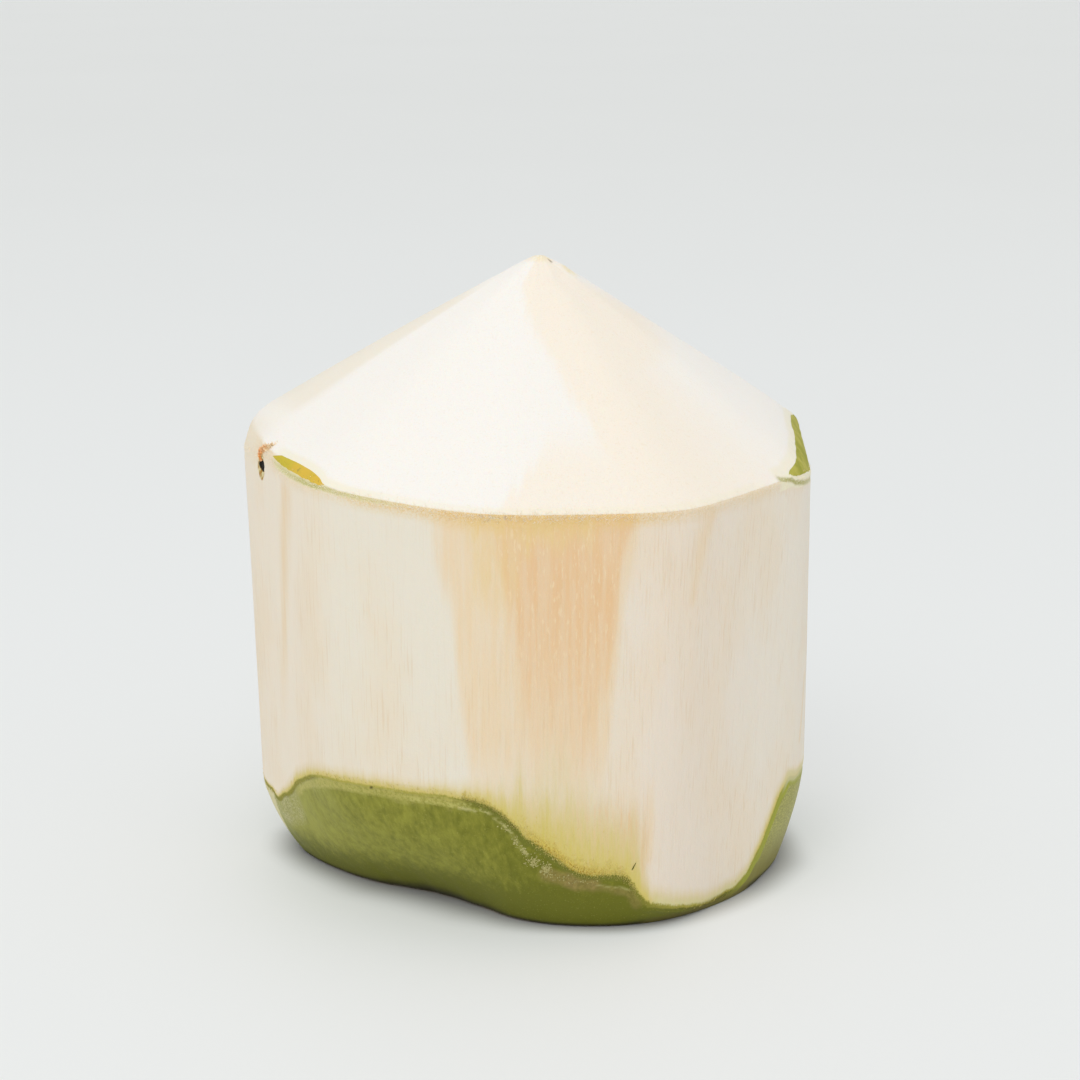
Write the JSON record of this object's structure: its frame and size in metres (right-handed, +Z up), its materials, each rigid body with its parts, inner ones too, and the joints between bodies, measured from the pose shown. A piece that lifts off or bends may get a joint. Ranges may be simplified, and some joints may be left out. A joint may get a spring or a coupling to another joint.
{
  "type": "trimmed young coconut",
  "caption": "Young coconut trimmed for drinking: husk peeled to straight white sides, a cone on top, a flat base, and green skin left low on the sides.",
  "frame": {"origin": "on the flat base, straight under the tip of the cone", "axes": "+Z up through the tip, and the front, with most of the green skin, faces -Y"},
  "size_m": [0.1233, 0.1181, 0.1334],
  "materials": {
    "husk": "matte"
  },
  "bodies": {
    "root": {"coconut": "husk"}
  },
  "joints": []
}
